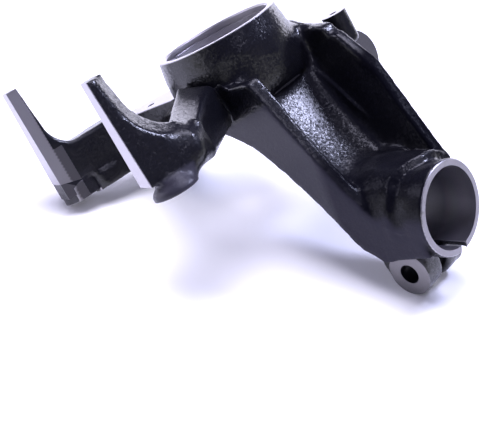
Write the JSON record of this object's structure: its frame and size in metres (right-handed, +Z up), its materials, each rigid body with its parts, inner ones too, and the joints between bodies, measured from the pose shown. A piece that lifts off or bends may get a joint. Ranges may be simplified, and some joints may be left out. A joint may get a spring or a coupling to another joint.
{
  "type": "steering knuckle",
  "caption": "Cast front steering knuckle: bearing housing, split strut clamp on a channelled neck, two brake-pad arms, ball-joint seat and steering arm.",
  "frame": {"origin": "centre of the footprint, on the floor the knuckle rests on", "axes": "+Z up in the resting pose; +X from the brake-pad arms towards the strut clamp; +Y away from the side that the bearing rim and caliper arms face; the bearing axis is given by the mount bearing_bore"},
  "size_m": [0.2998, 0.2268, 0.1555],
  "materials": {
    "casting": "black-painted sand casting with machined seats left bright"
  },
  "bodies": {
    "root": {"steering_knuckle": "casting"}
  },
  "joints": []
}
